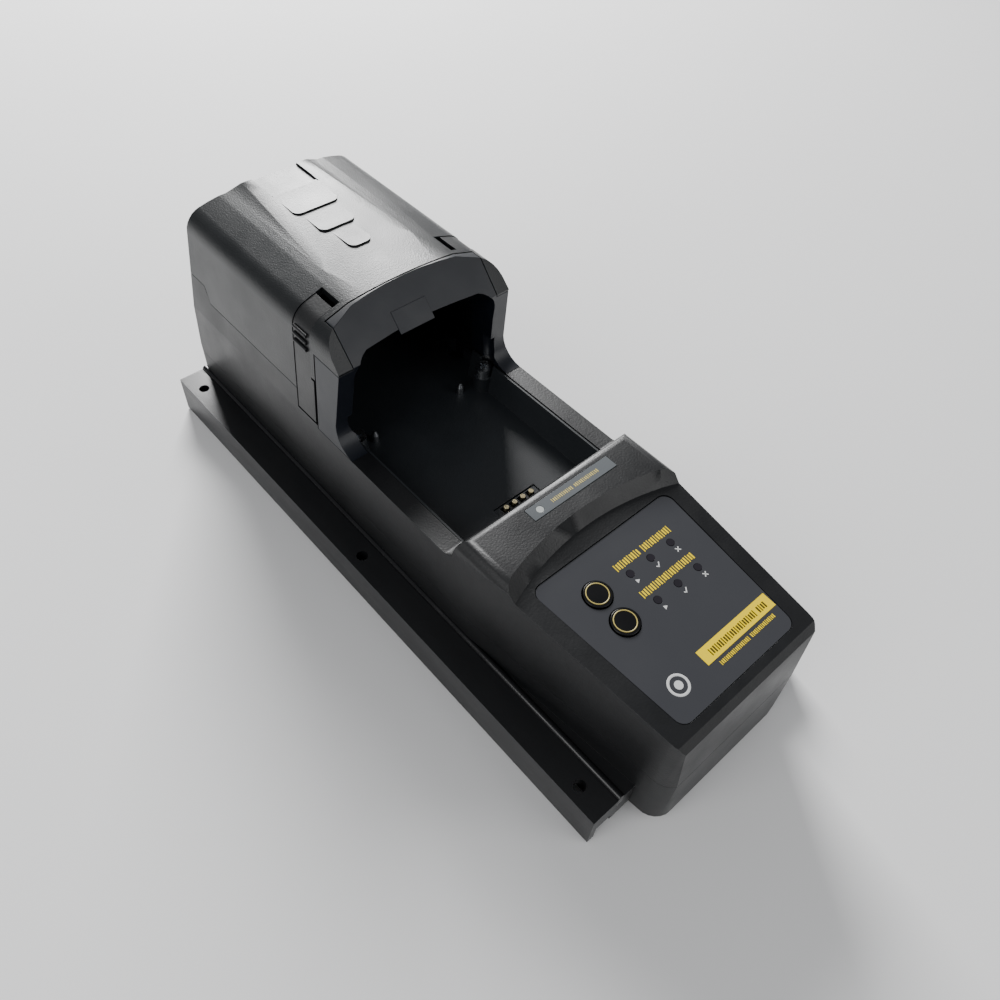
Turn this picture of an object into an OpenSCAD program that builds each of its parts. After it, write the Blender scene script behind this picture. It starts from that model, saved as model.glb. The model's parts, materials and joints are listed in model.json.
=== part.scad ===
/* [Overall] */
// Length of the module from its front face to the back of its rails
total_len = 278; // [250:1:330]
// Width across the side walls
body_w = 84; // [80:1:100]
// Width of the control end at its front face
front_w = 70; // [64:1:78]
// Wall thickness of the moulded shells
wall = 2.4; // [2:0.1:3]

/* [Lengths] */
// Length of the control end, front face to the bay
panel_len = 99; // [92:1:118]
// Length of the open bay in front of the hood
bay_len = 68; // [60:1:80]
// Length that the front face stands ahead of the rails
nose_len = 12; // [10:1:16]

/* [Heights] */
// Height of the rails and of the ledge beside them
ledge_h = 17.6; // [15:0.2:20]
// Height of the seam between the lower and the upper shell
seam_h = 30; // [28:1:34]
// Height of the rims beside the bay
rim_h = 57; // [55:1:62]
// Height of the brow behind the control label
brow_h = 68; // [66:1:74]
// Height of the seam between the body and the lid
lid_seam_h = 68; // [66:1:72]
// Height of the ridge along the top of the hood
hood_h = 110; // [105:1:125]
// Height of the bay floor
floor_h = 44; // [42:1:46]

/* [Bay] */
// Width of the open bay between its rims
bay_w = 69; // [60:1:70]
// Width of the mouth under the hood's bezel
mouth_w = 66; // [58:1:68]
// Height of the mouth's upper edge
mouth_h = 97; // [88:1:98]

/* [Rails] */
// Overall width across both rails
rail_w = 110; // [106:1:130]
// Bore of the mounting holes
mount_d = 4.5; // [3.5:0.1:6]
// Distance from a rail's end to its end holes
mount_end = 12; // [10:0.5:20]

/* [Moving parts] */
// Diameter of the lid's hinge pin
pin_d = 3; // [2.5:0.1:3.6]
// Radial running clearance of pins
run_clear = 0.05; // [0.02:0.01:0.1]
// Gap between separate mouldings
gap = 0.3; // [0.2:0.05:0.5]
// Diameter of the push buttons
button_d = 10; // [8:0.2:11]
// Distance between the push buttons along the label
button_gap = 12.6; // [12.4:0.2:15]
// Pitch of the charging contacts
contact_pitch = 4.2; // [4:0.1:6]

/* [Hidden] */
$fn = 32;
e = 0.01;
side = body_w/2;
front_y = -total_len/2;
back_y = total_len/2;
rail_y0 = front_y + nose_len;
bay_y = front_y + panel_len;
bezel_y = bay_y + bay_len;
bezel_t = 12;
lid_y = bezel_y + bezel_t;
foot_h = 4;
base_z = foot_h;
nose_half = front_w/2;
groove_w = 3;
rail_x = side + groove_w/2;
corner_r = 8;
hood_back_run = 13;
hood_side_run = 3;
hood_r = 9;
hinge_y = back_y - 8.4;
hinge_z = lid_seam_h + 6;
knuckle_r = pin_d/2 + 1.8;
latch_w = 10;
latch_y = lid_y + 3 + latch_w/2;
latch_pivot_z = lid_seam_h + 17;
latch_x0 = side - 14;
latch_swing = 3;
latch_rise = 1.4;
latch_knee_z = latch_pivot_z - 4.7;
latch_low_z = rim_h + 2;
label_l = 63;
label_back_w = 66;
label_front_w = 57;
label_y1 = bay_y - 28;
label_y0 = label_y1 - label_l;
panel_front_h = brow_h - 10;
panel_back_h = brow_h - 5;
panel_a = atan2(panel_back_h - panel_front_h, label_l);
button_x = -16.4;
button_y = label_y1 - 14.5;
led_x = [-1.8, 8.4, 18.6];
led_y = [label_y1 - 15.6, label_y1 - 28.1];
strip_x = [-15, 25];
strip_y = bay_y - 7.9;
strip_w = 5.6;
charge_x = strip_x[0] + 4.6;
ridge_h = 1.5;
crown_h = hood_h - ridge_h;
tab_x = side - 9;
tab_z = latch_pivot_z + 7;
mount_y = [rail_y0 + mount_end, (rail_y0 + back_y)/2, back_y - mount_end];

// Points along an arc
function arc(x, y, r, a0, a1, n = 6) = [for (i = [0:n]) let (a = a0 + (a1 - a0)*i/n) [x + r*cos(a),
    y + r*sin(a)]];
// Outline with a flat left and right half made from its right half
function both(p) = concat(p, [for (i = [len(p) - 1:-1:0]) [-p[i][0], p[i][1]]]);
// Plan of the shells, pulled in by d: straight sides, and a control end that narrows to the front
function plan(d) = let (f = nose_half - d, s = side - d, r = max(corner_r - d, 1)) both(concat(
    arc(f - r, front_y + d + r, r, -90, 0), [[s, bay_y - 8], [s, back_y - 3 - d]]));
// Cross section of the hood, pulled in by d
function hood_section(d) = let (s = side - d, t = s - hood_side_run, z1 = crown_h - 4 - d, r = hood_r - d/2)
    both(concat([[s, seam_h - 2], [s, rim_h]], arc(t - r, z1 - r, r, 0, 75),
        [for (x = [0.6:-0.2:0]) [x*t, crown_h - d - 4*x*x]]));
// Side view of the hood, pulled in by d
function hood_profile(d, y0) = concat([[y0 + d, seam_h - 2], [back_y - 2 - d, seam_h - 2],
    [back_y - hood_back_run - d, crown_h - 7]],
    arc(back_y - hood_back_run - 6, crown_h - 6, 6 - d, 0, 90), [[y0 + d, crown_h + 1 - d]]);

module along_x(p, w = 2*side + 20) { rotate([90, 0, 90]) linear_extrude(w, center = true) polygon(p); }
module along_y(p, y0, y1) { translate([0, y1, 0]) rotate([90, 0, 0]) linear_extrude(y1 - y0) polygon(p); }
module box(x0, x1, y0, y1, z0, z1) { translate([x0, y0, z0]) cube([x1 - x0, y1 - y0, z1 - z0]); }
module pillar(x, y, z0, z1, d) { translate([x, y, z0]) cylinder(h = z1 - z0, d = d); }
module pair() {
    children();
    mirror([1, 0, 0]) children();
}
module hood_form(d, y0) {
    intersection() {
        along_y(hood_section(d), bezel_y - 20, back_y);
        along_x(hood_profile(d, y0));
    }
}
module on_panel(x, y) { translate([x, y, panel_back_h - (label_y1 - y)*tan(panel_a)]) rotate([panel_a,
    0, 0]) children(); }

// Half width of the shells at y, where the control end narrows
function half_w(y) = min(side,
    nose_half + (side - nose_half)*(y - front_y - corner_r)/(panel_len - 8 - corner_r));
// Screw posts that join the two shells, on both sides of the centre
post_d = 7;
screw_at = [for (y = [front_y + 14, bay_y - 12, bezel_y + 24, back_y - 18]) [half_w(y)
    - wall - post_d/2 + 0.8, y]];
gas_x = [-14, 14];
gas_z = (base_z + seam_h)/2 + 1;
pocket_l = 11;
shell_screw_d = 3;
board_z = base_z + wall + 6;

module base_shell() color("#1b1d20") difference() {
    union() {
        box(-side, side, rail_y0, back_y, base_z, ledge_h);
        intersection() {
            translate([0, 0, base_z]) linear_extrude(seam_h - base_z) polygon(plan(0));
            along_x([[front_y, 0], [front_y + 1, seam_h + 1], [back_y, seam_h + 1], [back_y, 0]]);
        }
    }
    difference() {
        translate([0, 0, base_z + wall]) linear_extrude(seam_h) polygon(plan(wall));
        pair() for (p = screw_at) pillar(p[0], p[1], base_z, seam_h, post_d);
        pair() for (y = [bay_y - 30, bay_y + 60]) pillar(side - 16, y, base_z, board_z, 6);
        box(-22, 22, back_y - pocket_l - 3, back_y, base_z, seam_h);
    }
    box(-20, 20, back_y - pocket_l, back_y + 1, base_z + 4, seam_h - 3);
    pair() for (p = screw_at) {
        pillar(p[0], p[1], base_z - 1, seam_h + 1, shell_screw_d);
        pillar(p[0], p[1], base_z - 1, base_z + 4, 5.6);
    }
    pair() for (y = [bay_y - 30, bay_y + 60]) pillar(side - 16, y, base_z + 1, board_z + 1, 2);
    box(side - wall - 2, side + 1, bay_y + 20, bay_y + 44, ledge_h + 2, ledge_h + 9);
    pair() box(side - groove_w/2, side + 1, rail_y0 - 1, back_y + 1, ledge_h - 5,
        ledge_h + groove_w/2 + 0.1);
    for (x = gas_x) translate([x, back_y - pocket_l + 1, gas_z]) rotate([90, 0, 0]) cylinder(h = 5, d = 6);
}

// Flat rail with three mounting holes and a lip turned down to the bench
module rail() difference() {
    union() {
        box(rail_x - groove_w + 1.5, rail_w/2, rail_y0, back_y, ledge_h - 4, ledge_h);
        box(rail_w/2 - 3, rail_w/2, rail_y0, back_y, 0, ledge_h);
        box(side, side + 3, rail_y0, back_y, base_z, ledge_h - 5);
        for (y = [rail_y0, mount_y[1] - 5, back_y - 3])
            box(side + 1, rail_w/2 - 1, y, y + 3, 7, ledge_h - 2);
    }
    for (y = mount_y) pillar((side + rail_w/2)/2 + 1, y, ledge_h - 8, ledge_h + 1, mount_d);
    box(side - 2, rail_x, rail_y0 - 1, back_y + 1, ledge_h - 5 - e, ledge_h + 1);
}
module rail_left() color("#1a1c1f") mirror([1, 0, 0]) rail();
module rail_right() color("#1a1c1f") rail();
// Glossy strip in the groove between rail and shell
module bead() along_y(concat([[side - groove_w/2, ledge_h - 5], [rail_x, ledge_h - 5], [rail_x, ledge_h]],
    arc(side, ledge_h, groove_w/2, 0, 180)), rail_y0, back_y);
module bead_left() color("#0b0b0d") mirror([1, 0, 0]) bead();
module bead_right() color("#0b0b0d") bead();

// The seam under the lid steps up towards the back
corner_run = 20;
corner_rise = 7;
// Side view of the control end below its label, pulled in by d
function panel_profile(d) = [[front_y - 1, seam_h + gap/2 - d], [front_y + 1 + d, seam_h + gap/2 - d],
    [front_y + 2.7 + d, panel_front_h - 3 - d], [front_y + 5, panel_front_h - 0.5 - d],
    [label_y1 + 2, panel_back_h + 0.3 - d], [bay_y - 10, panel_back_h + 1.3 - d], [bay_y - 10,
        seam_h + gap/2 - d]];
// Side view of the brow, the bay's rims and the body under the hood, pulled in by d
function rim_profile(d) = concat([[label_y1 - 6, seam_h + gap/2 - d], [label_y1 - 6, brow_h - d]],
    arc(bay_y - 4, brow_h - 4 - d, 4, 90, 10, 5),
    [[bay_y + 1 + d, rim_h + 2 - d], [bay_y + 5 + d, rim_h - d], [lid_y - e, rim_h - d],
    [lid_y, lid_seam_h - gap/2], [back_y - corner_run - 3, lid_seam_h - gap/2],
    [back_y - corner_run + gap, lid_seam_h + corner_rise - gap/2], [back_y + 5,
        lid_seam_h + corner_rise - gap/2],
    [back_y + 5, seam_h + gap/2 - d]]);
// Cross section of the control end, with the brow's rounded shoulders
brow_r = 6;
function brow_section(d) = both(concat([[side, 0]], arc(side - brow_r, brow_h - brow_r, brow_r, 0, 90)));
// The brow's front is a shallow arch that slopes down to the label
arch_r = 123;
arch_y = bay_y - 16.5;
arch_depth = 8;
module side_form(d) {
    along_x(panel_profile(d));
    difference() {
        along_x(rim_profile(d));
        translate([0, arch_y - arch_r, brow_h - arch_depth])
            cylinder(h = arch_depth + 1, r1 = arch_r - arch_depth + 1.4*d, r2 = arch_r + 1 + 1.4*d,
                $fn = 180);
    }
}
module body_shell() color("#17191c") difference() {
    union() {
        difference() {
            intersection() {
                translate([0, 0, seam_h + gap/2]) linear_extrude(60) polygon(plan(0));
                side_form(0);
                union() {
                    along_y(brow_section(0), front_y, lid_y);
                    hood_form(0, lid_y - 2);
                }
            }
            difference() {
                intersection() {
                    translate([0, 0, seam_h - 1]) linear_extrude(60) polygon(plan(wall));
                    side_form(wall);
                    union() {
                        along_y(brow_section(0), front_y, lid_y + wall);
                        hood_form(wall, lid_y - 2);
                    }
                }
                pair() for (p = screw_at) pillar(p[0], p[1], seam_h, seam_h + 14, post_d);
            }
        }
        pair() hinge_lug(21, 8.6);
        pair() on_panel(0, label_y1) translate([23, -8, -9.8]) cylinder(h = 9, d = 5);
    }
    box(-21, 21, hinge_y - knuckle_r - 1, back_y, hinge_z - knuckle_r - 0.5, hinge_z + 20);
    // bay opening and the space under the hood
    box(-bay_w/2, bay_w/2, bay_y + 2, lid_y + wall + 1, floor_h - 4, 90);
    intersection() {
        box(-side + wall, side - wall, lid_y - 6, back_y, floor_h - 2, 90);
        hood_form(wall, lid_y - 8);
    }
    pair() for (p = screw_at) pillar(p[0], p[1], seam_h - 1, seam_h + 9, shell_screw_d - 0.6);
    // seats of the label, buttons, lamps and status strip
    label_cut(0.2, 1.2);
    for (i = [0, 1]) on_panel(button_x, button_y - i*button_gap) translate([0, 0, -8]) cylinder(h = 12,
        d = button_d + 1.2);
    for (x = led_x, y = led_y) on_panel(x, y) translate([0, 0, -8]) cylinder(h = 12, d = 3.4);
    box(strip_x[0] - 0.2, strip_x[1] + 0.2, strip_y - strip_w/2 - 0.2, strip_y + strip_w/2 + 0.2,
        brow_h - 1, brow_h + 2);
    pillar(charge_x, strip_y, brow_h - 8, brow_h + 1, 3);
    translate([0, hinge_y, hinge_z]) rotate([0, 90, 0]) cylinder(h = 62, d = pin_d + 2*e, center = true);
    pair() box(side - 3.8, side + 1, lid_y - 1, latch_y + latch_w/2 + gap, latch_low_z - 0.5,
        lid_seam_h + 1);
    pair() pillar(bay_w/2 - 2.5, bezel_y + 1, floor_h - 1, rim_h + 1, 9);
    pair() on_panel(0, label_y1) translate([23, -8, -11]) cylinder(h = 8, d = 2);
}
// One lug of the lid's hinge, standing on the back wall of the body
module hinge_lug(x, w) translate([x, 0, 0]) {
    translate([0, hinge_y, hinge_z]) rotate([0, 90, 0]) cylinder(h = w, r = knuckle_r);
    box(0, w, hinge_y - knuckle_r, hinge_y + 1.2, lid_seam_h - 6, hinge_z);
}
module label_cut(grow, depth) on_panel(0, label_y1) translate([0, 0, -depth]) linear_extrude(depth + 6)
    polygon(both(concat(arc(label_front_w/2 + grow - 4, -label_l - grow + 4, 4, -90, 0),
        arc(label_back_w/2 + grow - 4, grow - 4, 4, 0, 90))));

// Raked arch around the mouth, back to y1, with feet that sweep down to the rims
module bezel_form(y1) difference() {
    intersection() {
        along_y(hood_section(0), bezel_y - 14, y1);
        along_x(concat([[y1, rim_h + gap/2], [bezel_y - 10, rim_h + gap/2]],
            arc(bezel_y - 10, rim_h + 10 + gap/2, 10, -90, 0, 6),
            [[bezel_y - 3, mouth_h - 4], [lid_y - gap, crown_h + 0.3], [y1, crown_h + 0.3]]));
    }
    along_y(both(concat([[mouth_w/2 + 2, rim_h - 5], [mouth_w/2, rim_h + 24]],
        arc(mouth_w/2 - 10, mouth_h - 11, 10, 0, 75), [[14, mouth_h - 0.6], [0, mouth_h]])),
            bezel_y - 20, lid_y + 1);
    pair() pillar(bay_w/2 - 2.5, bezel_y + 1, rim_h - 1, rim_h + 12, 8);
}
module front_bezel() color("#101319") difference() {
    bezel_form(lid_y - gap);
    pair() box(tab_x, side + 1, bezel_y - 14, lid_y + 1, tab_z, hood_h);
}

// Liner of the detector bay, with a floor, low sides and the contact window
module bay_tray() color("#141518") difference() {
    union() {
        box(-bay_w/2 + gap, bay_w/2 - gap, bay_y + 2 + gap, lid_y - 1, floor_h - wall, rim_h - 0.4);
        box(-side + wall + gap, side - wall - gap, lid_y - 1, back_y - 24, floor_h - wall, floor_h + 4);
        pair() pillar(bay_w/2 - 2.5, bezel_y + 1, floor_h - wall, rim_h - 6, 8.4);
    }
    difference() {
        along_y(both([[bay_w/2 - gap - 3, floor_h], [bay_w/2 - gap - 0.8, rim_h]]), bay_y + 4 + gap,
            lid_y + 1);
        pair() pillar(bay_w/2 - 2.5, bezel_y + 1, floor_h - wall, rim_h - 6, 8.4);
    }
    box(-side + wall + gap + 2, side - wall - gap - 2, lid_y - 2, back_y - 26, floor_h, rim_h);
    box(contact_mid - contact_half, contact_mid + contact_half, window_y[0], window_y[1], floor_h - 5,
        floor_h + 1);
    pair() pillar(bay_w/2 - 2.5, bezel_y + 1, rim_h - 6, rim_h + 1, 8.4);
    pair() pillar(bay_w/2 - 2.5, bezel_y + 1, floor_h - 5, rim_h + 1, 3);
    pair() pillar(22, bezel_y + 4, floor_h - 5, floor_h + 1, 3);
    pair() pillar(screw_at[2][0], screw_at[2][1], floor_h - 5, rim_h, post_d + 1);
}
contact_d = 2;
contact_mid = 1;
contact_half = contact_pitch*2.45;
contact_y = bay_y + 12.8;
window_y = [bay_y + 9, bay_y + 15.5];
contact_x = [for (i = [0:3]) contact_mid + (i - 1.5)*contact_pitch];
module contact_block() color("#0f1012") difference() {
    union() {
        box(contact_mid - contact_half + gap, contact_mid + contact_half - gap, window_y[0] + gap,
            window_y[1] - gap,
            floor_h - 9, floor_h - 0.4);
        box(contact_mid - contact_half - 4, contact_mid + contact_half + 4, window_y[0] - 1,
            window_y[1] + 2,
            floor_h - 10, floor_h - wall - gap);
    }
    for (x = contact_x) {
        pillar(x, contact_y, floor_h - 11, floor_h + 1, contact_d + 2*run_clear);
        pillar(x, contact_y, floor_h - 8, floor_h - 4, contact_d + 1.2);
        box(x - 1.5, x + 1.5, contact_y - 1.8, contact_y + 1.8, floor_h - 2.4, floor_h + 1);
    }
}
module contact(i) color("#c8a64b") {
    pillar(contact_x[i], contact_y, floor_h - 7, floor_h + 1.5, contact_d);
    pillar(contact_x[i], contact_y, floor_h - 6.4, floor_h - 4.6, contact_d + 0.8);
}
module contact_1() contact(0);
module contact_2() contact(1);
module contact_3() contact(2);
module contact_4() contact(3);

// Domed lid with side skirts, a stepped ridge, corner tabs, and seats for the latches and release plate
plate_w = 20;
plate_l = 15.5;
plate_y1 = back_y - 16.5;
plate_y0 = plate_y1 - plate_l;
plate_t = 2.4;
plate_z = hood_h - 1;
step_y = [back_y - 47.5, back_y - 61.5, back_y - 76];
step_half = [10, 7.75, 4.75];
step_l = 12;
step_rise = 0.6;
step_r = 3;
ridge_y0 = lid_y + 20;
ridge_y1 = back_y - 26;
// Height of the ridge's top at y
function ridge_z(y) = max(crown_h, crown_h - 1 + (ridge_h + 1)*(y - ridge_y0)/(ridge_y1 - ridge_y0));
cap_screw_x = 23;
cap_screw_y = [lid_y + 24, lid_y + 64];
cap_z = floor_h + 42;
latch_pin_x = side - 7.4;
// Low ridge that rises to the back, with three grip steps on it
module lid_ridge() {
    intersection() {
        along_y(both([[22, crown_h - 2], [13, hood_h + 1]]), ridge_y0, back_y);
        along_x([[ridge_y0, crown_h - 3], [ridge_y0, crown_h - 1], [ridge_y1, hood_h], [back_y - 17,
            hood_h],
            [back_y - 14, crown_h - 3]]);
    }
    for (i = [0:2]) intersection() {
        linear_extrude(hood_h + 1) polygon(both(concat(
            arc(step_half[i] - step_r, step_y[i] + step_r, step_r, -90, 0), [[step_half[i],
                step_y[i] + step_l]])));
        along_x([[step_y[i], crown_h - 1], [step_y[i], ridge_z(step_y[i]) + step_rise],
            [step_y[i] + step_l, ridge_z(step_y[i] + step_l) - 0.05], [step_y[i] + step_l, crown_h - 1]]);
    }
}
module hood_lid() color("#1d2023") difference() {
    union() {
        difference() {
            union() {
                hood_form(0, lid_y + gap);
                lid_ridge();
            }
            hood_form(wall, lid_y - 6);
            along_x([[lid_y - 5, 0], [lid_y - 5, lid_seam_h + gap/2], [back_y - corner_run - 3,
                lid_seam_h + gap/2],
                [back_y - corner_run, lid_seam_h + corner_rise + gap/2],
                [back_y + 5, lid_seam_h + corner_rise + gap/2], [back_y + 5, 0]]);
        }
        pair() intersection() {
            bezel_form(lid_y + gap + e);
            box(tab_x + gap, side + 1, bezel_y - 14, lid_y + 1, tab_z + gap, hood_h);
        }
        translate([0, hinge_y, hinge_z]) rotate([0, 90, 0]) cylinder(h = 41.4, r = knuckle_r,
            center = true);
        box(-20.7, 20.7, hinge_y - knuckle_r, hinge_y - 0.6, hinge_z, hinge_z + 9);
        pair() box(side - 10, side - 3.6, lid_y + gap, latch_y - latch_w/2 - gap, latch_pivot_z - 4,
            latch_pivot_z + 4);
        pair() box(side - 10, side - 3.6, latch_y + latch_w/2 + gap, latch_y + latch_w/2 + gap + 3,
            latch_pivot_z - 4, latch_pivot_z + 4);
        box(-plate_w/2 - 2, plate_w/2 + 2, plate_y0 - 2, plate_y1 + 1, crown_h - 8, crown_h - 1);
        pair() for (y = cap_screw_y) pillar(cap_screw_x, y, cap_z + 4, crown_h - 3, 6);
    }
    pair() translate([20.7, hinge_y, hinge_z]) rotate([0, 90, 0]) cylinder(h = 9.4, r = knuckle_r + 0.5);
    box(-plate_w/2 - gap, plate_w/2 + gap, plate_y0 - gap, plate_y1 + gap, plate_z - plate_t - 2.2,
        hood_h + 3);
    translate([0, plate_y1 - 3, plate_z - plate_t/2]) rotate([0, 90, 0]) cylinder(h = plate_w + 3,
        d = 1.6, center = true);
    pair() box(side - 8.2, side + 1, lid_y - 1, latch_y + latch_w/2 + gap, 0, latch_knee_z);
    pair() box(latch_x0 - latch_swing, side + 1, latch_y - latch_w/2 - gap, latch_y + latch_w/2 + gap,
        latch_knee_z - 1, hood_h + 1);
    translate([0, hinge_y, hinge_z]) rotate([0, 90, 0]) cylinder(h = 60, d = pin_d + 2*run_clear,
        center = true);
    pair() translate([latch_pin_x, latch_y + 10, latch_pivot_z]) rotate([90, 0, 0]) cylinder(h = 17.6,
        d = 2.4);
    pair() for (y = cap_screw_y) pillar(cap_screw_x, y, lid_seam_h + 20, crown_h - 7, 2.4);
}
module lid_hinge_pin() color("#9a9da1") translate([0, hinge_y, hinge_z]) rotate([0, 90, 0])
    cylinder(h = 59, d = pin_d, center = true);
module release_plate() color("#202327") difference() {
    union() {
        box(-plate_w/2, plate_w/2, plate_y0, plate_y1, plate_z - plate_t, plate_z);
        box(-plate_w/2, plate_w/2, plate_y0, plate_y0 + 1, plate_z - plate_t, plate_z + 0.5);
    }
    translate([0, plate_y1 - 3, plate_z - plate_t/2]) rotate([0, 90, 0]) cylinder(h = plate_w + 4,
        d = 1.5 + 2*run_clear, center = true);
}
module release_pin() color("#9a9da1") translate([0, plate_y1 - 3, plate_z - plate_t/2]) rotate([0, 90, 0])
    cylinder(h = plate_w + 3, d = 1.5, center = true);
// Side latch: an arm on a pin that follows the hood from its top edge down to a catch in the body
module latch() difference() {
    union() {
        intersection() {
            along_y(hood_section(0.2), lid_y + 1.4, latch_y + latch_w/2);
            union() {
                box(latch_x0, side, lid_y + 1.4, latch_y + latch_w/2, latch_low_z,
                    latch_knee_z - latch_rise);
                box(latch_x0, side, latch_y - latch_w/2, latch_y + latch_w/2, latch_low_z, hood_h);
            }
            difference() {
                box(0, side + 1, lid_y, latch_y + latch_w, 0, hood_h + 1);
                along_y(hood_section(3.2), lid_y - 1, latch_y + latch_w);
            }
        }
        box(side - 8.8, side - 3.4, latch_y - latch_w/2, latch_y + latch_w/2, latch_pivot_z - 1.9,
            latch_pivot_z + 1.9);
        for (i = [0:2]) translate([side - hood_side_run - 0.1 + i*0.3, latch_y + latch_w/2 - 1,
            crown_h - 11 - i*3])
            rotate([90, 0, 0]) cylinder(h = latch_w - 2, d = 1.4);
    }
    translate([latch_pin_x, latch_y + 20, latch_pivot_z]) rotate([90, 0, 0]) cylinder(h = 40,
        d = 2.4 + 2*run_clear);
}
module latch_left() color("#15171a") mirror([1, 0, 0]) latch();
module latch_right() color("#15171a") latch();
module latch_pin() translate([latch_pin_x, latch_y + 8, latch_pivot_z]) rotate([90, 0, 0])
    cylinder(h = 15.4, d = 2.4);
module latch_pin_left() color("#9a9da1") mirror([1, 0, 0]) latch_pin();
module latch_pin_right() color("#9a9da1") latch_pin();

// Gas test cap under the lid: a plate with five nozzles over the detector's sensors
nozzle_at = [[-14, 24], [14, 24], [0, 40], [-14, 56], [14, 56]];
module test_cap() color("#3a3d42") difference() {
    union() {
        box(-28, 28, lid_y + 16, lid_y + 72, cap_z, cap_z + 4);
        for (p = nozzle_at) pillar(p[0], lid_y + p[1], cap_z - 3, cap_z + 8, 7);
    }
    for (p = nozzle_at) pillar(p[0], lid_y + p[1], cap_z - 4, cap_z + 9, 3);
    pair() for (y = cap_screw_y) pillar(cap_screw_x, y, cap_z - 1, cap_z + 6, 3);
}
module cap_seals() color("#50545a") for (p = nozzle_at) translate([p[0], lid_y + p[1], cap_z - 2.8])
    rotate_extrude() translate([4.4, 0]) circle(d = 1.7, $fn = 20);
module cap_screws() color("#9a9da1") pair() for (y = cap_screw_y) {
    pillar(cap_screw_x, y, cap_z - 2, cap_z, 5);
    pillar(cap_screw_x, y, cap_z - e, cap_z + 12, 2.4);
}
module filter_disc() color("#e4e4de") pillar(0, lid_y + 40, cap_z + 8.2, cap_z + 11, 13);

module control_label() color("#3c3e42") difference() {
    label_part();
    for (i = [0, 1]) on_panel(button_x, button_y - i*button_gap) translate([0, 0, -3]) cylinder(h = 6,
        d = button_d + 0.8);
    for (x = led_x, y = led_y) on_panel(x, y) translate([0, 0, -3]) cylinder(h = 6, d = 3);
}
module label_part() on_panel(0, label_y1) translate([0, 0, -1.2]) linear_extrude(1)
    polygon(both(concat(arc(label_front_w/2 - 4, -label_l + 4, 4, -90, 0), arc(label_back_w/2 - 4, -4,
        4, 0, 90))));
button_travel = 0.8;
module button(i) on_panel(button_x, button_y - i*button_gap) {
    translate([0, 0, -4.4]) cylinder(h = 4.8, d = button_d);
    translate([0, 0, -5.6]) cylinder(h = 1.3, d = 3);
}
module button_bump() color("#0d0e10") button(0);
module button_cal() color("#0d0e10") button(1);
module button_switches() color("#26282c") for (i = [0, 1]) on_panel(button_x, button_y - i*button_gap)
    translate([0, 0, -9.8]) { cylinder(h = 3.2, d = 5); translate([0, 0, 0.8]) cube([6.4, 6.4, 1.6],
        center = true); }
module led_lenses() color("#4b2f2c") for (x = led_x, y = led_y) on_panel(x, y) translate([0, 0, -9.8])
    cylinder(h = 9.7, d = 2.8);
module led_board() color("#1d5a34") on_panel(0, label_y1) difference() {
    translate([-26, -45, -11.4]) cube([52, 42, 1.6]);
    pair() translate([23, -8, -13]) cylinder(h = 4, d = 2);
}
module status_strip() color("#7d8083") difference() {
    box(strip_x[0], strip_x[1], strip_y - strip_w/2, strip_y + strip_w/2, brow_h - 1, brow_h + 0.2);
    pillar(charge_x, strip_y, brow_h - 3, brow_h + 1, 3);
}
module charge_led() color("#8f9290") pillar(charge_x, strip_y, brow_h - 7, brow_h + 0.1, 2.8);
module main_board() color("#1d5a34") difference() {
    box(-side + 9, side - 9, bay_y - 44, bay_y + 72, board_z, board_z + 1.6);
    pair() for (y = [bay_y - 30, bay_y + 60]) pillar(side - 16, y, board_z - 1, board_z + 3, 2.4);
}
module board_screws() color("#9a9da1") pair() for (y = [bay_y - 30, bay_y + 60]) {
    pillar(side - 16, y, board_z + 1.6, board_z + 3.4, 5);
    pillar(side - 16, y, board_z - 4, board_z + 1.6 + e, 2);
}
pump_y = back_y - 52;
tube_id = 3.1;
module pump() color("#6c7075") {
    translate([gas_x[1], pump_y, gas_z]) rotate([-90, 0, 0]) cylinder(h = 24, d = 18);
    translate([gas_x[1], pump_y + 24 - e, gas_z]) rotate([-90, 0, 0]) cylinder(h = 6, d = tube_id - 0.1);
    box(gas_x[1] - 8, gas_x[1] + 8, pump_y + 2, pump_y + 20, base_z + wall, gas_z - 5);
}
module manifold() color("#b9bdc2") difference() {
    union() {
        box(gas_x[0] - 14, gas_x[0] + 14, pump_y, pump_y + 24, base_z + wall, gas_z + 5);
        translate([gas_x[0], pump_y + 24 - e, gas_z]) rotate([-90, 0, 0]) cylinder(h = 6,
            d = tube_id - 0.1);
    }
    translate([gas_x[0], pump_y + 40, gas_z]) rotate([90, 0, 0]) cylinder(h = 30, d = 1.6);
}
module solenoid_valves() color("#2c3440") for (x = [gas_x[0] - 7, gas_x[0] + 7]) {
    pillar(x, pump_y + 8, gas_z + 5, gas_z + 17, 11);
    box(x - 5, x + 5, pump_y + 15, pump_y + 21, gas_z + 5, gas_z + 11);
}
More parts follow.
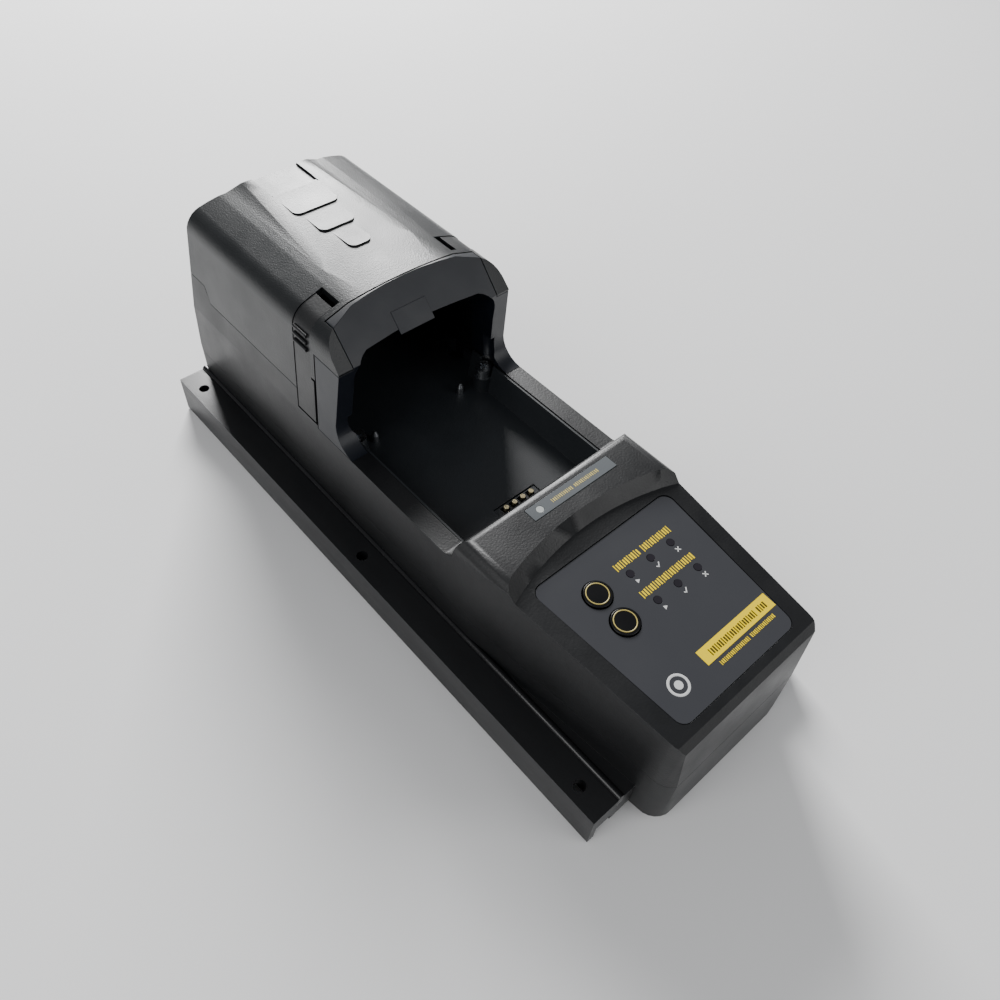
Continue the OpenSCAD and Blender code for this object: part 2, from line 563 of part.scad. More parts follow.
// Gas inlet and outlet in the pocket of the back wall
barb_d = 4;
module gas_fittings() color("#c9ccd0") for (x = gas_x) translate([x, back_y - 2, gas_z]) rotate([90, 0,
    0]) difference() {
    union() {
        cylinder(h = 20, d = tube_id - 0.1);
        cylinder(h = 10, d = barb_d);
        translate([0, 0, pocket_l - 3.5]) cylinder(h = 4.5, d = 6);
    }
    translate([0, 0, -1]) cylinder(h = 30, d = 1.6);
}
module gas_tubes() color("#d8d9d2") for (x = gas_x) translate([x, back_y - pocket_l - 3.2, gas_z])
    rotate([90, 0, 0]) difference() {
    cylinder(h = back_y - pocket_l - 3.2 - pump_y - 24.1, d = tube_id + 2);
    translate([0, 0, -1]) cylinder(h = 40, d = tube_id);
}
module bus_connector() color("#0f1012") difference() {
    box(side - wall - 4, side - 0.4, bay_y + 20 + gap, bay_y + 44 - gap, ledge_h + 2 + gap,
        ledge_h + 9 - gap);
    box(side - 4, side + 1, bay_y + 22, bay_y + 42, ledge_h + 4, ledge_h + 7);
}
module shell_screws() color("#9a9da1") pair() for (p = screw_at) {
    pillar(p[0], p[1], base_z + 1, base_z + 4, 5.4);
    pillar(p[0], p[1], base_z + 4 - e, seam_h + 8, shell_screw_d - 0.6);
}
module mouth_screws() color("#6b6e72") pair() difference() {
    union() {
        pillar(bay_w/2 - 2.5, bezel_y + 1, floor_h - wall - 5, rim_h - 4, 2.9);
        pillar(bay_w/2 - 2.5, bezel_y + 1, rim_h - 6, rim_h - 2, 7);
    }
    for (a = [0, 90]) translate([bay_w/2 - 2.5, bezel_y + 1, rim_h - 2.6]) rotate([0, 0, a]) cube([4,
        0.9, 2], center = true);
}
module locating_posts() color("#8c8f92") pair() {
    pillar(22, bezel_y + 4, floor_h - wall, floor_h + 3, 2.9);
    translate([22, bezel_y + 4, floor_h + 3 - e]) cylinder(h = 2, d1 = 2.9, d2 = 1);
}
module rubber_feet() color("#0d0d0e") pair() for (y = [rail_y0 + 14, back_y - 30]) pillar(side - 20, y,
    0, base_z, 12);

base_shell();
rail_left();
rail_right();
bead_left();
bead_right();
body_shell();
front_bezel();
bay_tray();
contact_block();
contact_1();
contact_2();
contact_3();
contact_4();
hood_lid();
lid_hinge_pin();
release_plate();
release_pin();
latch_left();
latch_right();
latch_pin_left();
latch_pin_right();
test_cap();
cap_seals();
cap_screws();
filter_disc();
control_label();
button_bump();
button_cal();
button_switches();
led_lenses();
led_board();
status_strip();
charge_led();
main_board();
board_screws();
pump();
manifold();
solenoid_valves();
gas_fittings();
gas_tubes();
bus_connector();
shell_screws();
mouth_screws();
locating_posts();
rubber_feet();
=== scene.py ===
import json
import math

import bmesh
import bpy
from bpy.props import FloatProperty, FloatVectorProperty, PointerProperty
from mathutils import Matrix, Vector

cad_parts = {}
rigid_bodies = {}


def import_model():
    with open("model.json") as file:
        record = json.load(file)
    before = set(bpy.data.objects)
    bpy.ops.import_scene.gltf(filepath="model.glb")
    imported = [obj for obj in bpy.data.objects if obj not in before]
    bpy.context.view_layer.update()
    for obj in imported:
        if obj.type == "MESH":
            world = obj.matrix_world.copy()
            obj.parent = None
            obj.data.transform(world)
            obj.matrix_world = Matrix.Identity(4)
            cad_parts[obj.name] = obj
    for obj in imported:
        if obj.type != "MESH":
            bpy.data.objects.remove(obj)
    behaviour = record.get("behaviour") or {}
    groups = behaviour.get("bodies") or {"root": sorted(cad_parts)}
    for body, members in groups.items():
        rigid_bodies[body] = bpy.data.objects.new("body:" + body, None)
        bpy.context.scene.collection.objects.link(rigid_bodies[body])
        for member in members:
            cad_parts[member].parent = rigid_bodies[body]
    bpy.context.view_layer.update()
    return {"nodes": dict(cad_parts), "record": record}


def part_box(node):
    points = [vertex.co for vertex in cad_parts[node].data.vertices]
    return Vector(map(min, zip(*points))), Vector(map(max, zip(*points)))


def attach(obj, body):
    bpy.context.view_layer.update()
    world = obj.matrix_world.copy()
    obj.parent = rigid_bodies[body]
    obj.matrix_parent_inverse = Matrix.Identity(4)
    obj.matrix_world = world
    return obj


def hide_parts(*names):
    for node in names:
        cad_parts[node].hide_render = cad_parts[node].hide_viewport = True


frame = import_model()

bl_info = {
    "name": "Gas detector docking module",
    "version": (1, 0, 0),
    "blender": (4, 5, 0),
    "location": "View3D > Sidebar > Docking module",
    "description": "Finishes a docking module's mouldings, label, keys and contacts around its CAD frame",
    "category": "Object",
}

MM = 0.001
BODY_OF = {node: body for body, nodes in frame["record"]["behaviour"]["bodies"].items() for node in nodes}
SLOT_OF = {part["node"]: part["material_slot"] for part in frame["record"]["subparts"]}

# The label's film lies on a sloping panel: its plane is worked out from the film's box.
LABEL_LOW, LABEL_HIGH = (Vector(corner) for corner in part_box("control_label"))
FILM = 1.0 * MM
TILT = math.atan2(LABEL_HIGH.z - LABEL_LOW.z - FILM, LABEL_HIGH.y - LABEL_LOW.y)
LABEL_PLANE = Matrix.Translation((0, LABEL_HIGH.y, LABEL_HIGH.z)) @ Matrix.Rotation(TILT, 4, "X")
STRIP_LOW, STRIP_HIGH = (Vector(corner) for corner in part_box("status_strip"))
STRIP_MIDDLE = (STRIP_LOW + STRIP_HIGH) / 2
STRIP_PLANE = Matrix.Translation((STRIP_MIDDLE.x, STRIP_MIDDLE.y, STRIP_HIGH.z))

# The bezel's raked face runs down from just above its top back corner.
BEZEL_HIGH = Vector(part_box("front_bezel")[1])
FACE_RISE = 0.3 * MM
RAKE = math.radians(47.1)
FACE_PLANE = Matrix.Translation((0, BEZEL_HIGH.y, BEZEL_HIGH.z + FACE_RISE)) @ Matrix.Rotation(RAKE, 4, "X")
# The outline on that face: its middle, then its width, height and thickness
OUTLINE_AT = (-3.2 * MM, -14.4 * MM, 0)
OUTLINE_SIZE = (15.4 * MM, 8.6 * MM, 0.4 * MM)
OUTLINE_EDGE = 0.15 * MM

# Rows of print, in millimetres: start and end across, place up the slope from the film's top edge,
# height, then the number of strokes and the one left out as a gap between words
NO_GAP = -1
HEADINGS = (
    (-5, 22.6, -11.4, 2.9, 25, 11),
    (-5.3, 21, -23.9, 2.9, 24, NO_GAP),
    (-3, 25, -56.4, 1.6, 36, 19),
)
BAR_ROW = (-3, 26, -51.8, 2.5, 27, 22)
STRIP_ROW = (-10, 13, 0, 1.7, 27, 12)
# By turns, a stroke's width as a part of its pitch, and its height as a part of the row's
STROKE_WIDTHS = (0.34, 0.56, 0.56)
STROKE_HEIGHTS = (1, 0.8, 0.92)
INK = 0.06 * MM
# The yellow bar: its middle on the label, then its width and height
BAR_AT = (11 * MM, -51.6 * MM)
BAR_SIZE = (35 * MM, 5.6 * MM)
# Signs below the six lamps: their rows up the slope, and the lamps' places across
SIGN_ROWS = (-19.2 * MM, -31.7 * MM)
SIGN_COLUMNS = (-1.8 * MM, 8.4 * MM, 18.6 * MM)
SIGN_REACH = 0.95 * MM
SIGN_BAR = (2.3 * SIGN_REACH, 0.42 * SIGN_REACH, 2 * INK)
# The plain ring and dot in the label's lower left corner
BADGE_AT = (-19 * MM, -52.7 * MM, 0)
BADGE_RING = 3.4 * MM
BADGE_LINE = 0.45 * MM
BADGE_DOT = 1.5 * MM

# The ring printed on a key lies this far below the key's highest point, which is its back edge.
KEY_RING_DROP = 0.36 * MM
KEY_RING_LINE = 0.2 * MM
KEY_EDGE = 0.25 * MM

# Turns between two faces: those of one flat face, of a curve's facets, and of edges that are
# shaded or rounded
FLAT_TURN = math.radians(0.6)
CURVE_TURN = math.radians(24)
SHADE_TURN = math.radians(32)
EDGE_TURN = math.radians(34)
MERGE = 0.01 * MM


# ---------------------------------------------------------------- materials
def srgb(hex_text):
    """Linear red, green, blue and alpha of an sRGB hex value."""
    parts = [int(hex_text[i:i + 2], 16) / 255 for i in (1, 3, 5)]
    return tuple(c / 12.92 if c <= 0.04045 else ((c + 0.055) / 1.055) ** 2.4 for c in parts) + (1.0,)


def add_node(tree, kind, links=None, inputs=None, **settings):
    """Adds a shader node, sets its properties and inputs, and links what feeds it."""
    made = tree.nodes.new(kind)
    for key, value in settings.items():
        setattr(made, key, value)
    for key, value in (inputs or {}).items():
        made.inputs[key].default_value = value
    for socket, source in (links or {}).items():
        tree.links.new(source, made.inputs[socket])
    return made


def mottled(tree, noise, low, high):
    """The colour that a slow noise gives between two tones."""
    tint = add_node(tree, "ShaderNodeMix", {"Factor": noise}, data_type="RGBA")
    tint.inputs["A"].default_value = low
    tint.inputs["B"].default_value = high
    return tint.outputs["Result"]


def spread(tree, noise, low, high):
    """Maps a noise's useful range onto low to high."""
    return add_node(tree, "ShaderNodeMapRange", {"Value": noise}, {
        "From Min": 0.3, "From Max": 0.7, "To Min": low, "To Max": high}).outputs["Result"]


def surface(name, low, high, rough, rough_spread=0.05, grain=None, metallic=0.0, patch=22.2, coat=0.0,
            ior=1.5, transmission=0.0, streak=(1, 1, 1)):
    """A procedural finish: two tones in patches, uneven roughness, and a relief of (grain size, depth).

    The patches, the grain's size and its depth are in millimetres.
    """
    made = bpy.data.materials.new(name)
    made.use_nodes = True
    tree = made.node_tree
    tree.nodes.clear()
    where = add_node(tree, "ShaderNodeTexCoord").outputs["Object"]
    where = add_node(tree, "ShaderNodeMapping", {"Vector": where}, {"Scale": streak}).outputs["Vector"]
    noise = add_node(tree, "ShaderNodeTexNoise", {"Vector": where}, {
        "Scale": 1 / (patch * MM), "Detail": 4.0, "Roughness": 0.6}).outputs["Fac"]
    links = {"Roughness": spread(tree, noise, rough - rough_spread, rough + rough_spread)}
    inputs = {"Metallic": metallic, "Coat Weight": coat, "Coat Roughness": 0.12,
              "Transmission Weight": transmission}
    if low == high:
        inputs["Base Color"] = low
    else:
        links["Base Color"] = mottled(tree, noise, low, high)
    if grain:
        size, depth = grain
        relief = add_node(tree, "ShaderNodeTexNoise", {"Vector": where}, {
            "Scale": 1 / (size * MM), "Detail": 2.0})
        links["Normal"] = add_node(tree, "ShaderNodeBump", {"Height": relief.outputs["Fac"]}, {
            "Strength": 1.0, "Distance": depth * MM}).outputs["Normal"]
    if not metallic:
        inputs["IOR"] = ior
    shader = add_node(tree, "ShaderNodeBsdfPrincipled", links, inputs)
    add_node(tree, "ShaderNodeOutputMaterial", {"Surface": shader.outputs["BSDF"]})
    return made


def tone(key):
    """One of the panel's colours, as plain numbers."""
    return tuple(getattr(bpy.context.scene.dock_colours, key))


# What makes each slot of the record, and each ink. Moulded grains are drawn two to three times as coarse
# as spark erosion leaves them, because the real ones are too fine to show.
FINISHES = {
    # Heavily spark-eroded ABS: a coarse sparkle under a raking light, duller where hands rub it
    "lid_black": lambda: surface("grained_abs_lid", tone("lid"), tone("lid_worn"), 0.36, 0.07, (0.55, 0.08),
                                 patch=38.5),
    # Moulded ABS with a finer grain: a broad, soft sheen
    "shell_black": lambda: surface("grained_abs_body", tone("shell"), tone("shell_worn"), 0.40, 0.06,
                                   (0.8, 0.06)),
    # The same ABS from a smoother tool: satin
    "base_black": lambda: surface("satin_abs_base", tone("shell"), tone("shell_worn"), 0.42, 0.05,
                                  (0.4, 0.035)),
    # ABS scuffed lengthwise by the bench: drawn-out dull patches
    "rail_black": lambda: surface("scuffed_abs_rail", tone("shell"), srgb("#1b1c1e"), 0.40, 0.09,
                                  (0.45, 0.05), streak=(1, 0.25, 1)),
    # Extruded soft PVC, glossy and dusty: a bright broken line
    "bead_black": lambda: surface("glossy_pvc_strip", srgb("#050506"), srgb("#101114"), 0.2, 0.1,
                                  (0.8, 0.03)),
    # Smooth moulded ABS with a blue cast: flatter and bluer than the shells beside it
    "bezel_blue_black": lambda: surface("blue_black_abs_bezel", tone("bezel"), srgb("#10151e"), 0.38, 0.05,
                                        (0.35, 0.02)),
    # Finely grained ABS liner: a greyer black with a wide highlight
    "tray_black": lambda: surface("grained_abs_tray", tone("tray"), srgb("#22262a"), 0.48, 0.05,
                                  (0.4, 0.045)),
    # Hard-coated polycarbonate film printed from behind: even colour under a faint sheen
    "label_grey": lambda: surface("polycarbonate_film_label", tone("label"), tone("label"), 0.33, 0.03,
                                  (0.25, 0.008)),
    # The same film, smoother
    "strip_grey": lambda: surface("polycarbonate_film_strip", tone("strip"), tone("strip"), 0.3, 0.03),
    # Moulded silicone keys: deep black, slightly greasy
    "button_black": lambda: surface("silicone_key", srgb("#050507"), srgb("#0a0a0c"), 0.32, 0.05,
                                    (0.3, 0.01), ior=1.42),
    # Smoked acrylic lamps, unlit: dark and wet-looking
    "lens_dark": lambda: surface("smoked_acrylic_lens", srgb("#1c1a20"), srgb("#242028"), 0.18, 0.04,
                                 coat=0.4),
    # Frosted acrylic lamp, unlit: a pale dot
    "lens_pale": lambda: surface("frosted_acrylic_lens", srgb("#a9aeac"), srgb("#b6bab8"), 0.45, 0.05),
    # Gold flash over nickel on the spring pins: small warm glints
    "contact_gold": lambda: surface("gold_flashed_pin", srgb("#e8d6a0"), srgb("#f3e6bf"), 0.22, 0.05,
                                    metallic=1.0),
    # Zinc plate, a little uneven: a cool, soft shine
    "steel": lambda: surface("zinc_plated_steel", srgb("#b9bcc0"), srgb("#cfd2d5"), 0.3, 0.08, (0.2, 0.01),
                             metallic=1.0),
    # Epoxy glass board under solder resist: glossy deep green
    "board_green": lambda: surface("solder_resist_board", srgb("#0f4a2a"), srgb("#145633"), 0.35, 0.05),
    # Machined acetal: waxy dark grey
    "cap_grey": lambda: surface("acetal_test_cap", srgb("#1e2024"), srgb("#26282c"), 0.45, 0.05,
                                (0.5, 0.02)),
    # Moulded nitrile rubber: matt grey
    "seal_rubber": lambda: surface("moulded_rubber_seal", srgb("#2c2e32"), srgb("#34363a"), 0.6, 0.05,
                                   (0.3, 0.02)),
    # Sintered plastic: chalky and grainy
    "filter_white": lambda: surface("sintered_filter_disc", srgb("#dcdcd4"), srgb("#eeeee8"), 0.85, 0.05,
                                    (0.25, 0.08)),
    # Milled aluminium: fine cutter marks across the block
    "block_aluminium": lambda: surface("machined_aluminium", srgb("#c4c7cb"), srgb("#d3d6d9"), 0.32, 0.06,
                                       (0.15, 0.01), metallic=1.0, streak=(1, 8, 1)),
    # Enamelled pump case: plain satin grey
    "pump_grey": lambda: surface("painted_pump_housing", srgb("#5b5f64"), srgb("#666a6f"), 0.4, 0.05,
                                 (0.5, 0.02)),
    # Moulded nylon round the valves' coils: dull slate blue
    "valve_blue_grey": lambda: surface("moulded_valve_coil", srgb("#1c2430"), srgb("#232c39"), 0.4, 0.05),
    # Extruded soft PVC tube: milky and half clear
    "tube_clear": lambda: surface("soft_pvc_tube", srgb("#d4d6cc"), srgb("#dddfd6"), 0.2, 0.04,
                                  transmission=0.6),
    # Moulded rubber feet: dead matt
    "foot_rubber": lambda: surface("moulded_rubber_foot", srgb("#0b0b0c"), srgb("#121214"), 0.7, 0.05,
                                   (0.4, 0.03)),
    # Screen printing inks, a little raised on the films: flat colour with hardly any shine
    "ink_yellow": lambda: surface("yellow_printing_ink", tone("yellow"), tone("yellow_deep"), 0.5, 0.04,
                                  ior=1.3),
    "ink_white": lambda: surface("white_printing_ink", srgb("#cfd0cf"), srgb("#dcdddc"), 0.45, 0.04),
    "ink_dark": lambda: surface("dark_printing_ink", srgb("#3a3206"), srgb("#463c08"), 0.45, 0.04),
    "ink_pale_yellow": lambda: surface("pale_yellow_ink_ring", srgb("#bfae62"), srgb("#cdbd74"), 0.4, 0.04),
    # Matt backdrop paper: pale, with no shine
    "paper": lambda: surface("backdrop_paper", srgb("#ececec"), srgb("#f0f0f0"), 0.8, 0.03, patch=333),
}
MADE = {}


def dress(piece, slot):
    """Gives a piece one finish, made on first use."""
    if slot not in MADE:
        MADE[slot] = FINISHES[slot]()
    piece.data.materials.clear()
    piece.data.materials.append(MADE[slot])


# ---------------------------------------------------------------- modelling
def select_only(*objects):
    bpy.ops.object.select_all(action="DESELECT")
    for piece in objects:
        piece.select_set(True)
    if objects:
        bpy.context.view_layer.objects.active = objects[0]


def apply_modifier(piece, kind, **settings):
    made = piece.modifiers.new(kind.lower(), kind)
    for key, value in settings.items():
        setattr(made, key, value)
    select_only(piece)
    bpy.ops.object.modifier_apply(modifier=made.name)


def copy_of(node, name):
    """A copy of a CAD node, merged and rid of the lines across its flat faces."""
    if node not in frame["nodes"]:
        raise RuntimeError(f"{node} isn't in the frame")
    select_only(frame["nodes"][node])
    bpy.ops.object.duplicate()
    piece = bpy.context.object
    piece.name = name
    select_only(piece)
    bpy.ops.object.parent_clear(type="CLEAR_KEEP_TRANSFORM")
    bpy.ops.object.mode_set(mode="EDIT")
    bpy.ops.mesh.select_all(action="SELECT")
    bpy.ops.mesh.remove_doubles(threshold=MERGE)
    bpy.ops.mesh.dissolve_limited(angle_limit=FLAT_TURN, delimit=set())
    bpy.ops.object.mode_set(mode="OBJECT")
    return piece


def round_edges(piece, radius, segments, wanted):
    """Rounds the sharp edges whose two ends, in millimetres, pass the test."""
    select_only(piece)
    bpy.ops.object.mode_set(mode="EDIT")
    bpy.ops.mesh.select_mode(type="EDGE")
    bpy.ops.mesh.select_all(action="DESELECT")
    mesh = bmesh.from_edit_mesh(piece.data)
    picked = 0
    for edge in mesh.edges:
        if len(edge.link_faces) == 2 and edge.calc_face_angle(0) > CURVE_TURN:
            chosen = all(wanted(vert.co / MM) for vert in edge.verts)
            edge.select_set(chosen)
            picked += chosen
    bmesh.update_edit_mesh(piece.data)
    if not picked:
        raise RuntimeError(f"{piece.name} has no such edge to round")
    bpy.ops.mesh.bevel(offset=radius, segments=segments, profile=0.5, clamp_overlap=True)
    bpy.ops.object.mode_set(mode="OBJECT")


def smooth(piece):
    select_only(piece)
    bpy.ops.object.shade_smooth_by_angle(angle=SHADE_TURN)
    apply_modifier(piece, "WEIGHTED_NORMAL", keep_sharp=True, weight=60)


def stand_for(piece, node):
    """The piece takes the CAD node's place, body, slot and finish."""
    dress(piece, SLOT_OF[node])
    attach(piece, BODY_OF[node])
    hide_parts(node)


def moulding(node, edge, rounds=(), segments=2):
    """A moulded part: some edges rounded generously and the rest broken, as its tool leaves them."""
    piece = copy_of(node, node + "_moulding")
    for radius, steps, wanted in rounds:
        round_edges(piece, radius, steps, wanted)
    apply_modifier(piece, "BEVEL", width=edge, segments=segments, limit_method="ANGLE",
                   angle_limit=EDGE_TURN, use_clamp_overlap=True, harden_normals=False)
    smooth(piece)
    stand_for(piece, node)


def block(place, size, turn=0.0):
    """A box at its place on a plane, turned about its own middle."""
    bpy.ops.mesh.primitive_cube_add(size=1, location=place, rotation=(0, 0, turn))
    made = bpy.context.object
    made.scale = size
    return made


def printed(name, marks, plane, ink, body):
    """Joins marks made at a plane's origin into one printed layer that lies on that plane."""
    select_only(*marks)
    bpy.ops.object.transform_apply(location=True, rotation=True, scale=True)
    bpy.ops.object.join()
    layer = bpy.context.object
    layer.name = name
    layer.matrix_world = plane
    bpy.ops.object.transform_apply(location=True, rotation=True, scale=True)
    dress(layer, ink)
    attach(layer, body)


def strokes(row):
    """A row of fine upright strokes that stands for a heading, with no letters in it."""
    start, end, up, tall, count, gap = row
    pitch = (end - start) / count
    made = []
    for i in range(count):
        if i != gap:
            place = ((start + (i + 0.5) * pitch) * MM, up * MM, INK / 2)
            size = (pitch * STROKE_WIDTHS[i % 3] * MM, tall * STROKE_HEIGHTS[i % 3] * MM, INK)
            made.append(block(place, size))
    return made


def pointer(across, up):
    bpy.ops.mesh.primitive_cylinder_add(radius=SIGN_REACH, depth=2 * INK, location=(across, up, 0),
                                        vertices=3,
                                        rotation=(0, 0, -math.pi / 2))
    return [bpy.context.object]


def tick(across, up):
    long_leg = block((across + 0.25 * SIGN_REACH, up, 0), SIGN_BAR, math.radians(50))
    short_leg = block((across - 0.68 * SIGN_REACH, up - SIGN_BAR[1], 0), (SIGN_REACH, *SIGN_BAR[1:]),
                      math.radians(-45))
    return [long_leg, short_leg]


def cross(across, up):
    return [block((across, up, 0), SIGN_BAR, math.radians(turn)) for turn in (45, -45)]


def badge():
    """A plain ring with a dot in it."""
    bpy.ops.mesh.primitive_torus_add(location=BADGE_AT, major_radius=BADGE_RING, minor_radius=BADGE_LINE,
                                     major_segments=48, minor_segments=8)
    ring = bpy.context.object
    ring.scale.z = INK / BADGE_LINE
    bpy.ops.mesh.primitive_cylinder_add(radius=BADGE_DOT, depth=2 * INK, location=BADGE_AT, vertices=32)
    return [ring, bpy.context.object]


# ---------------------------------------------------------------- sizes and colours
class DockColours(bpy.types.PropertyGroup):
    shell: FloatVectorProperty(name="Shell", description="Moulded shells", default=srgb("#0e0f11"),
                               size=4, min=0, max=1, subtype="COLOR")
    shell_worn: FloatVectorProperty(name="Shell, handled", description="Shells where hands rub them",
                                    default=srgb("#141517"), size=4, min=0, max=1, subtype="COLOR")
    lid: FloatVectorProperty(name="Lid", description="Moulded lid", default=srgb("#111315"),
                             size=4, min=0, max=1, subtype="COLOR")
    lid_worn: FloatVectorProperty(name="Lid, handled", description="Lid where hands rub it",
                                  default=srgb("#181b1d"), size=4, min=0, max=1, subtype="COLOR")
    bezel: FloatVectorProperty(name="Bezel", description="Arch around the mouth", default=srgb("#0b0f17"),
                               size=4, min=0, max=1, subtype="COLOR")
    tray: FloatVectorProperty(name="Tray", description="Liner of the bay", default=srgb("#1a1d20"),
                              size=4, min=0, max=1, subtype="COLOR")
    label: FloatVectorProperty(name="Label", description="Film on the control end", default=srgb("#3a3b3f"),
                               size=4, min=0, max=1, subtype="COLOR")
    strip: FloatVectorProperty(name="Status strip", description="Film on the brow", default=srgb("#5d6164"),
                               size=4, min=0, max=1, subtype="COLOR")
    yellow: FloatVectorProperty(name="Yellow ink", description="Headings and bar on the label",
                                default=srgb("#ffe000"), size=4, min=0, max=1, subtype="COLOR")
    yellow_deep: FloatVectorProperty(name="Yellow ink, thick", description="Yellow ink where it lies thick",
                                     default=srgb("#f9d800"), size=4, min=0, max=1, subtype="COLOR")


class DockSizes(bpy.types.PropertyGroup):
    edge: FloatProperty(name="Edge", description="Rounding of ordinary moulded edges", default=0.45 * MM,
                        min=0.1 * MM, max=1 * MM, subtype="DISTANCE", unit="LENGTH")
    fine_edge: FloatProperty(name="Fine edge", description="Rounding of films, latches and glossy strips",
                             default=0.15 * MM, min=0.05 * MM, max=0.4 * MM,
                             subtype="DISTANCE", unit="LENGTH")
    panel_edge: FloatProperty(name="Panel edge", description="Rounding around the control panel",
                              default=2.2 * MM, min=0.5 * MM, max=4 * MM, subtype="DISTANCE", unit="LENGTH")
    ring_radius: FloatProperty(name="Key ring", description="Radius of the ring on a key", default=3.9 * MM,
                               min=2 * MM, max=4.5 * MM, subtype="DISTANCE", unit="LENGTH")


# ---------------------------------------------------------------- operators
class DOCK_OT_frame_finish(bpy.types.Operator):
    """Gives every CAD node its finish"""
    bl_idname = "dock.frame_finish"
    bl_label = "Finish the frame"

    def execute(self, context):
        for node, piece in frame["nodes"].items():
            dress(piece, SLOT_OF[node])
        return {"FINISHED"}


class DOCK_OT_shells(bpy.types.Operator):
    """Rounds the two shells, most of all around the control panel"""
    bl_idname = "dock.shells"
    bl_label = "Shells"

    def execute(self, context):
        size = context.scene.dock_sizes
        # In millimetres: the label's front and back, and how high and how far out the panel's edges start
        front = LABEL_LOW.y / MM
        back = LABEL_HIGH.y / MM
        side_low, front_low, side_out = 52, 50, 33

        def beside_panel(p):
            return front - 4 < p.y < back + 12 and p.z > side_low and abs(p.x) > side_out

        def below_panel(p):
            return p.y < front + 1 and p.z > front_low

        moulding("body_shell", size.edge,
                 [(size.panel_edge, 4, beside_panel), (size.panel_edge, 4, below_panel)])
        moulding("base_shell", size.edge)
        return {"FINISHED"}


class DOCK_OT_hood(bpy.types.Operator):
    """Rounds the lid, its release plate and its two latches"""
    bl_idname = "dock.hood"
    bl_label = "Hood"

    def execute(self, context):
        size = context.scene.dock_sizes
        moulding("hood_lid", size.edge)
        for node in ("release_plate", "latch_left", "latch_right"):
            moulding(node, size.fine_edge)
        return {"FINISHED"}


class DOCK_OT_bezel(bpy.types.Operator):
    """Rounds the bezel and raises the faint outline on its face, above the mouth"""
    bl_idname = "dock.bezel"
    bl_label = "Bezel"

    def execute(self, context):
        moulding("front_bezel", context.scene.dock_sizes.edge)
        select_only()
        outline = block(OUTLINE_AT, OUTLINE_SIZE)
        bpy.ops.object.transform_apply(location=True, rotation=True, scale=True)
        apply_modifier(outline, "BEVEL", width=OUTLINE_EDGE, segments=2)
        printed("bezel_outline", [outline], FACE_PLANE, "bezel_blue_black", "base")
        return {"FINISHED"}


class DOCK_OT_bay(bpy.types.Operator):
    """Rounds the liner of the bay"""
    bl_idname = "dock.bay"
    bl_label = "Bay"

    def execute(self, context):
        moulding("bay_tray", context.scene.dock_sizes.edge)
        return {"FINISHED"}


class DOCK_OT_rails(bpy.types.Operator):
    """Rounds the rails and the glossy strips beside them"""
    bl_idname = "dock.rails"
    bl_label = "Rails"

    def execute(self, context):
        size = context.scene.dock_sizes
        for side in ("left", "right"):
            moulding("rail_" + side, size.edge)
            moulding("bead_" + side, size.fine_edge)
        return {"FINISHED"}


class DOCK_OT_keys(bpy.types.Operator):
    """Models the two keys with their printed rings"""
    bl_idname = "dock.keys"
    bl_label = "Keys"

    def execute(self, context):
        for node in ("button_bump", "button_cal"):
            moulding(node, KEY_EDGE, segments=3)
            low, high = (Vector(corner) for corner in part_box(node))
            middle = (low + high) / 2
            top = Matrix.Translation((middle.x, middle.y, high.z - KEY_RING_DROP))
            select_only()
            bpy.ops.mesh.primitive_torus_add(major_radius=context.scene.dock_sizes.ring_radius,
                                             minor_radius=KEY_RING_LINE, major_segments=64, minor_segments=8)
            printed(node + "_ring", [bpy.context.object], top @ Matrix.Rotation(TILT, 4, "X"),
                    "ink_pale_yellow", BODY_OF[node])
        return {"FINISHED"}


class DOCK_OT_label(bpy.types.Operator):
    """Rounds the label and the status strip, and prints them with plain strokes and signs"""
    bl_idname = "dock.label"
    bl_label = "Label and strip"

    def execute(self, context):
        for node in ("status_strip", "control_label"):
            moulding(node, context.scene.dock_sizes.fine_edge)
        select_only()
        yellow = [mark for row in HEADINGS for mark in strokes(row)]
        yellow.append(block((*BAR_AT, INK / 2), (*BAR_SIZE, INK)))
        printed("yellow_print", yellow, LABEL_PLANE, "ink_yellow", "base")
        on_bar = LABEL_PLANE @ Matrix.Translation((0, 0, INK))
        printed("bar_print", strokes(BAR_ROW), on_bar, "ink_dark", "base")
        white = []
        for up in SIGN_ROWS:
            for across, sign in zip(SIGN_COLUMNS, (pointer, tick, cross)):
                white += sign(across, up)
        printed("white_print", white + badge(), LABEL_PLANE, "ink_white", "base")
        printed("strip_print", strokes(STRIP_ROW), STRIP_PLANE, "ink_pale_yellow", "base")
        return {"FINISHED"}


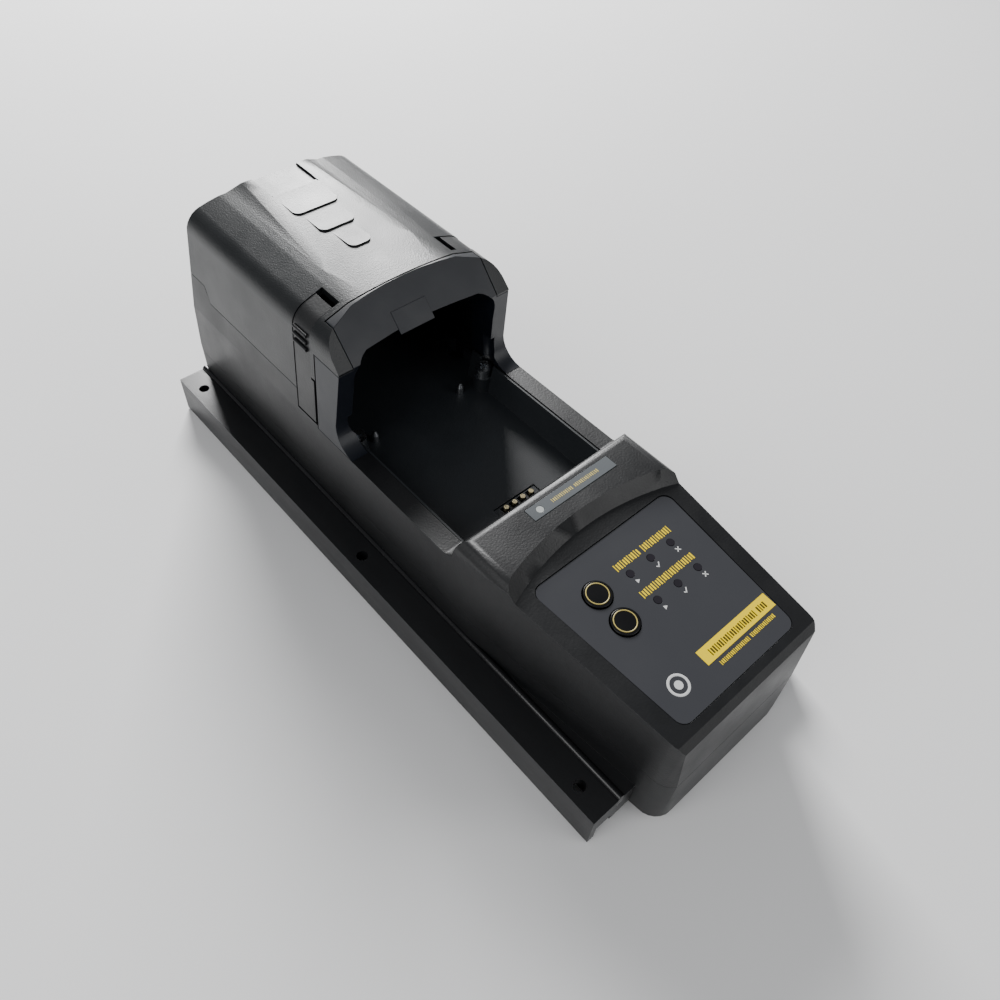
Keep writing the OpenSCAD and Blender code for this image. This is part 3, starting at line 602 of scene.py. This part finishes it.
class DOCK_OT_stage(bpy.types.Operator):
    """Sets up the floor, the lights and the surroundings"""
    bl_idname = "dock.stage"
    bl_label = "Stage"

    def execute(self, context):
        select_only()
        bpy.ops.mesh.primitive_plane_add(size=8, location=(0, 0, -0.5 * MM))
        floor = bpy.context.object
        floor.name = "floor"
        dress(floor, "paper")
        # Name, place, width in metres and power in watts; each points at the module's middle
        lamps = (
            ("key_light", (0.62, 1.2, 0.78), 0.6, 46.0),
            ("fill_light", (-1.1, -0.1, 0.9), 1.0, 9.0),
            ("front_light", (0.6, -1.2, 0.8), 0.9, 5.0),
        )
        target = Vector((0, 0, 0.05))
        for name, place, width, power in lamps:
            bpy.ops.object.light_add(type="AREA", location=place)
            lamp = bpy.context.object
            lamp.name = name
            lamp.data.energy = power
            lamp.data.size = width
            lamp.rotation_euler = (target - Vector(place)).to_track_quat("-Z", "Y").to_euler()
        world = bpy.data.worlds.new("studio")
        context.scene.world = world
        world.use_nodes = True
        background = world.node_tree.nodes["Background"]
        background.inputs["Color"].default_value = srgb("#e6e8ec")
        background.inputs["Strength"].default_value = 0.30
        return {"FINISHED"}


class DOCK_OT_camera(bpy.types.Operator):
    """Places the camera above the control end's left corner"""
    bl_idname = "dock.camera"
    bl_label = "Camera"

    def execute(self, context):
        bpy.ops.object.camera_add(location=(-0.1527, -0.1678, 0.2970),
                                  rotation=[math.radians(angle) for angle in (39.31, -3.15, -41.78)])
        camera = bpy.context.object
        camera.data.sensor_width = 36
        camera.data.lens = 31.13
        context.scene.camera = camera
        return {"FINISHED"}


OPERATORS = [
    DOCK_OT_frame_finish, DOCK_OT_shells, DOCK_OT_hood, DOCK_OT_bezel, DOCK_OT_bay, DOCK_OT_rails,
    DOCK_OT_keys, DOCK_OT_label, DOCK_OT_stage, DOCK_OT_camera,
]


class DOCK_PT_panel(bpy.types.Panel):
    bl_label = "Docking module"
    bl_idname = "DOCK_PT_panel"
    bl_space_type = "VIEW_3D"
    bl_region_type = "UI"
    bl_category = "Docking module"

    def draw(self, context):
        for group in (context.scene.dock_colours, context.scene.dock_sizes):
            for key in group.__annotations__:
                self.layout.prop(group, key)
        for item in OPERATORS:
            self.layout.operator(item.bl_idname)


CLASSES = [DockColours, DockSizes, *OPERATORS, DOCK_PT_panel]


def register():
    for item in CLASSES:
        bpy.utils.register_class(item)
    bpy.types.Scene.dock_colours = PointerProperty(type=DockColours)
    bpy.types.Scene.dock_sizes = PointerProperty(type=DockSizes)


def unregister():
    del bpy.types.Scene.dock_sizes
    del bpy.types.Scene.dock_colours
    for item in reversed(CLASSES):
        bpy.utils.unregister_class(item)


def main():
    register()
    bpy.ops.dock.frame_finish()
    bpy.ops.dock.shells()
    bpy.ops.dock.hood()
    bpy.ops.dock.bezel()
    bpy.ops.dock.bay()
    bpy.ops.dock.rails()
    bpy.ops.dock.keys()
    bpy.ops.dock.label()
    bpy.ops.dock.stage()
    bpy.ops.dock.camera()


if __name__ == "__main__":
    main()
